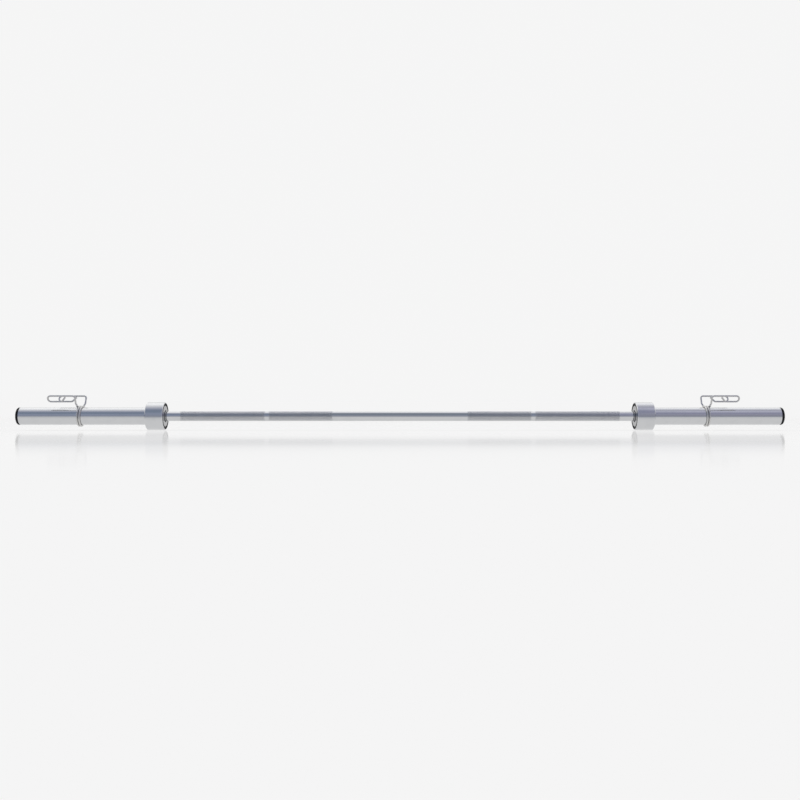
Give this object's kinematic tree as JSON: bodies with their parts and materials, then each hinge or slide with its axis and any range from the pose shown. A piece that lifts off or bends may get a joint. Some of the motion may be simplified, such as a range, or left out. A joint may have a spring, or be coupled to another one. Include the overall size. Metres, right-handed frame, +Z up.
{
  "type": "olympic barbell",
  "caption": "Olympic weightlifting bar: knurled shaft, plate sleeves that spin on bronze bushes, stop collars, black end caps and sliding sprung wire clips with squeeze handles.",
  "frame": {"origin": "on the floor under the middle of the bar, which lies on its two collars", "axes": "+X along the bar towards the right sleeve, +Z up, -Y towards the viewer"},
  "size_m": [2.2, 0.08, 0.1005],
  "materials": {
    "shaft_chrome": "hard chrome, knurled bands",
    "sleeve_chrome": "bright chrome, turned",
    "bronze": "machined",
    "steel": "plain",
    "spring_wire": "zinc-bright spring wire",
    "rubber": "matt",
    "black_plastic": "moulded"
  },
  "bodies": {
    "shaft": {"shaft": "shaft_chrome", "left_inner_thrust_washer": "steel", "left_outer_thrust_washer": "steel", "left_snap_ring": "steel", "right_inner_thrust_washer": "steel", "right_outer_thrust_washer": "steel", "right_snap_ring": "steel"},
    "left_sleeve": {"left_sleeve": "sleeve_chrome", "left_collar": "sleeve_chrome", "left_inner_bush": "bronze", "left_outer_bush": "bronze", "left_dust_seal": "rubber", "left_end_cap": "black_plastic"},
    "right_sleeve": {"right_sleeve": "sleeve_chrome", "right_collar": "sleeve_chrome", "right_inner_bush": "bronze", "right_outer_bush": "bronze", "right_dust_seal": "rubber", "right_end_cap": "black_plastic"},
    "left_clip": {"left_clip_coil": "spring_wire"},
    "left_front_handle": {"left_clip_front_handle": "spring_wire"},
    "left_rear_handle": {"left_clip_rear_handle": "spring_wire"},
    "right_clip": {"right_clip_coil": "spring_wire"},
    "right_front_handle": {"right_clip_front_handle": "spring_wire"},
    "right_rear_handle": {"right_clip_rear_handle": "spring_wire"}
  },
  "joints": [
    {"name": "left_sleeve_spin", "type": "hinge", "parent": "shaft", "child": "left_sleeve", "pos_m": [-0.9, 0, 0.04], "axis": [1, 0, 0], "continuous": true},
    {"name": "right_sleeve_spin", "type": "hinge", "parent": "shaft", "child": "right_sleeve", "pos_m": [0.9, 0, 0.04], "axis": [1, 0, 0], "continuous": true},
    {"name": "left_clip_slide", "type": "slide", "parent": "left_sleeve", "child": "left_clip", "axis": [-1, 0, 0], "range_m": [-0.182, 0.2]},
    {"name": "right_clip_slide", "type": "slide", "parent": "right_sleeve", "child": "right_clip", "axis": [1, 0, 0], "range_m": [-0.1445, 0.237]},
    {"name": "left_front_handle_squeeze", "type": "hinge", "parent": "left_clip", "child": "left_front_handle", "pos_m": [-0.92601, 0, 0.04], "axis": [-1, 0, 0], "range_deg": [0, 19], "stiffness_Nm_per_rad": 6, "deforming": ["left_clip_coil"]},
    {"name": "left_rear_handle_squeeze", "type": "hinge", "parent": "left_clip", "child": "left_rear_handle", "pos_m": [-0.91346, 0, 0.04], "axis": [1, 0, 0], "range_deg": [0, 19], "stiffness_Nm_per_rad": 6, "deforming": ["left_clip_coil"]},
    {"name": "right_front_handle_squeeze", "type": "hinge", "parent": "right_clip", "child": "right_front_handle", "pos_m": [0.88851, 0, 0.04], "axis": [-1, 0, 0], "range_deg": [0, 19], "stiffness_Nm_per_rad": 6, "deforming": ["right_clip_coil"]},
    {"name": "right_rear_handle_squeeze", "type": "hinge", "parent": "right_clip", "child": "right_rear_handle", "pos_m": [0.87596, 0, 0.04], "axis": [1, 0, 0], "range_deg": [0, 19], "stiffness_Nm_per_rad": 6, "deforming": ["right_clip_coil"]}
  ],
  "couplings": [
    {"joint": "left_rear_handle_squeeze", "follows": "left_front_handle_squeeze", "ratio": 1},
    {"joint": "right_rear_handle_squeeze", "follows": "right_front_handle_squeeze", "ratio": 1}
  ]
}
